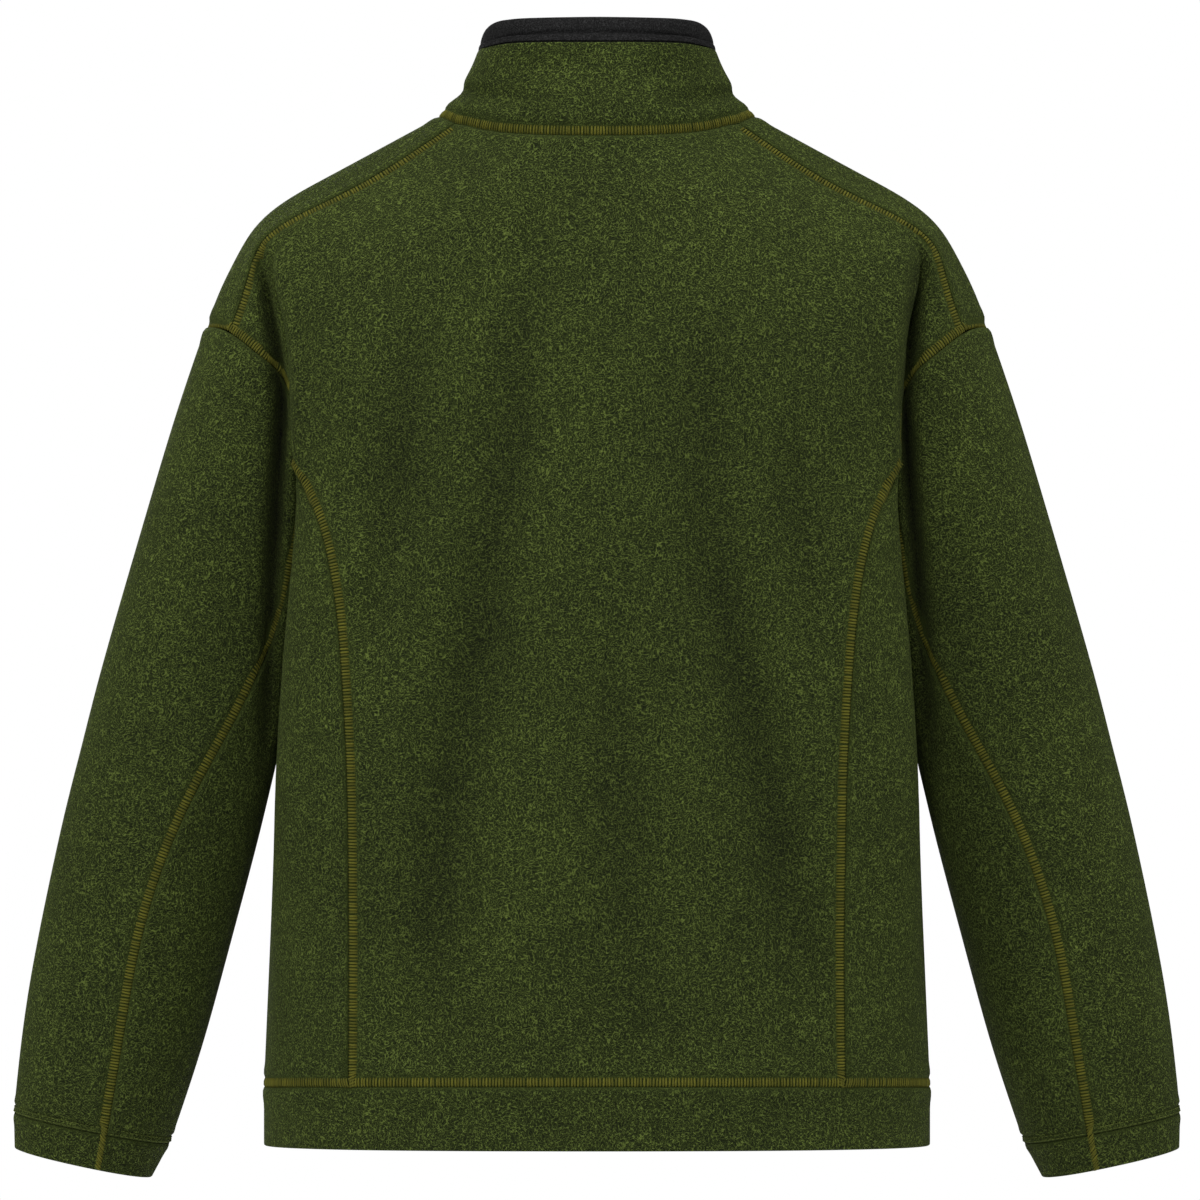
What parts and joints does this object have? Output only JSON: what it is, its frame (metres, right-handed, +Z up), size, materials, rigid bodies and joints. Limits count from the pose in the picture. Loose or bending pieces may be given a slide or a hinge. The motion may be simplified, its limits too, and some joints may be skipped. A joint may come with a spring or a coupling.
{
  "type": "fleece jacket",
  "caption": "Green fleece jacket with a stand collar, dropped shoulders, two-piece sleeves and a full front zip, filled out as worn.",
  "frame": {"origin": "midway between the high points of the shoulders, where the wearer carries the jacket", "axes": "+Z up, the back faces +Y, the front faces -Y, the wearer's left is +X"},
  "size_m": [0.779, 0.2451, 0.7686],
  "materials": {
    "green_fleece": "short curled pile, matt with a light sheen at the edges",
    "green_fleece_band": "the same pile folded double",
    "charcoal_microfleece": "short heathered nap",
    "zip_tape": "woven tape",
    "zip_teeth": "moulded teeth",
    "zip_metal": "dark lacquered slider and pull",
    "seam_thread": "mustard-olive cover stitch"
  },
  "bodies": {
    "jacket": {"back_panel": "green_fleece", "front_left": "green_fleece", "front_right": "green_fleece", "side_panel_left": "green_fleece", "side_panel_right": "green_fleece", "sleeve_upper_left": "green_fleece", "sleeve_upper_right": "green_fleece", "sleeve_under_left": "green_fleece", "sleeve_under_right": "green_fleece", "cuff_left": "green_fleece_band", "cuff_right": "green_fleece_band", "hem_band": "green_fleece_band", "collar_outer": "green_fleece", "collar_inner": "charcoal_microfleece", "collar_binding": "charcoal_microfleece", "zip_tape_left": "zip_tape", "zip_tape_right": "zip_tape", "zip_chain": "zip_teeth", "zip_box": "zip_teeth", "zip_slider": "zip_metal"},
    "pull_tab": {"zip_pull": "zip_metal"}
  },
  "joints": [
    {"name": "pull_swing", "type": "hinge", "parent": "jacket", "child": "pull_tab", "pos_m": [0, -0.06807, -0.01612], "axis": [-1, 0, 0], "range_deg": [0, 150]}
  ]
}
